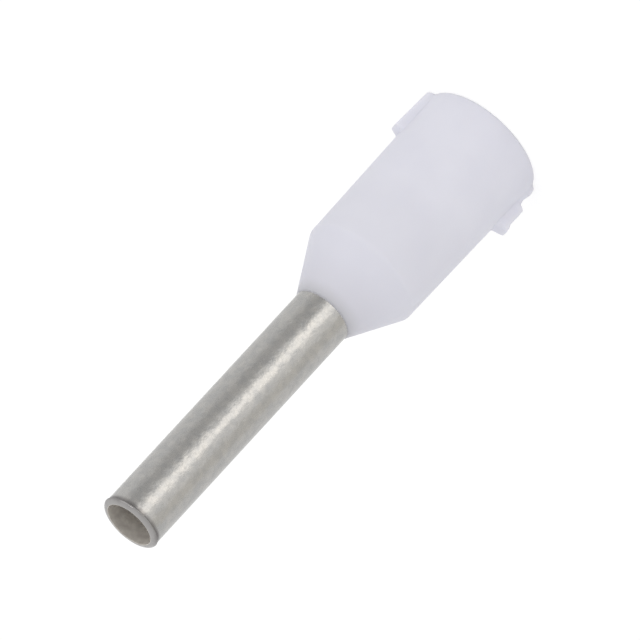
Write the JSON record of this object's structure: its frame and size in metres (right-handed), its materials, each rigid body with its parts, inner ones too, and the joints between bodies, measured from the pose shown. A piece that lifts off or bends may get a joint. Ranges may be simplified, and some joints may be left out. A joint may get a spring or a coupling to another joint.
{
  "type": "wire ferrule",
  "caption": "Insulated wire end ferrule: a plated metal sleeve with a flared end, held in a white funnel-shaped plastic collar with two small web stubs at its mouth.",
  "frame": {"origin": "centre of the collar's mouth, on the axis, where the ferrule stands", "axes": "+Z along the axis from the collar's mouth to the sleeve's tip; the two web stubs lie along X, the cleanly cut one at +X"},
  "size_m": [0.0041, 0.0036, 0.015],
  "materials": {
    "tin_plate": "satin tin plating with a fine grain",
    "white_plastic": "matt moulded plastic"
  },
  "bodies": {
    "root": {"metal_sleeve": "tin_plate", "insulating_collar": "white_plastic"}
  },
  "joints": []
}
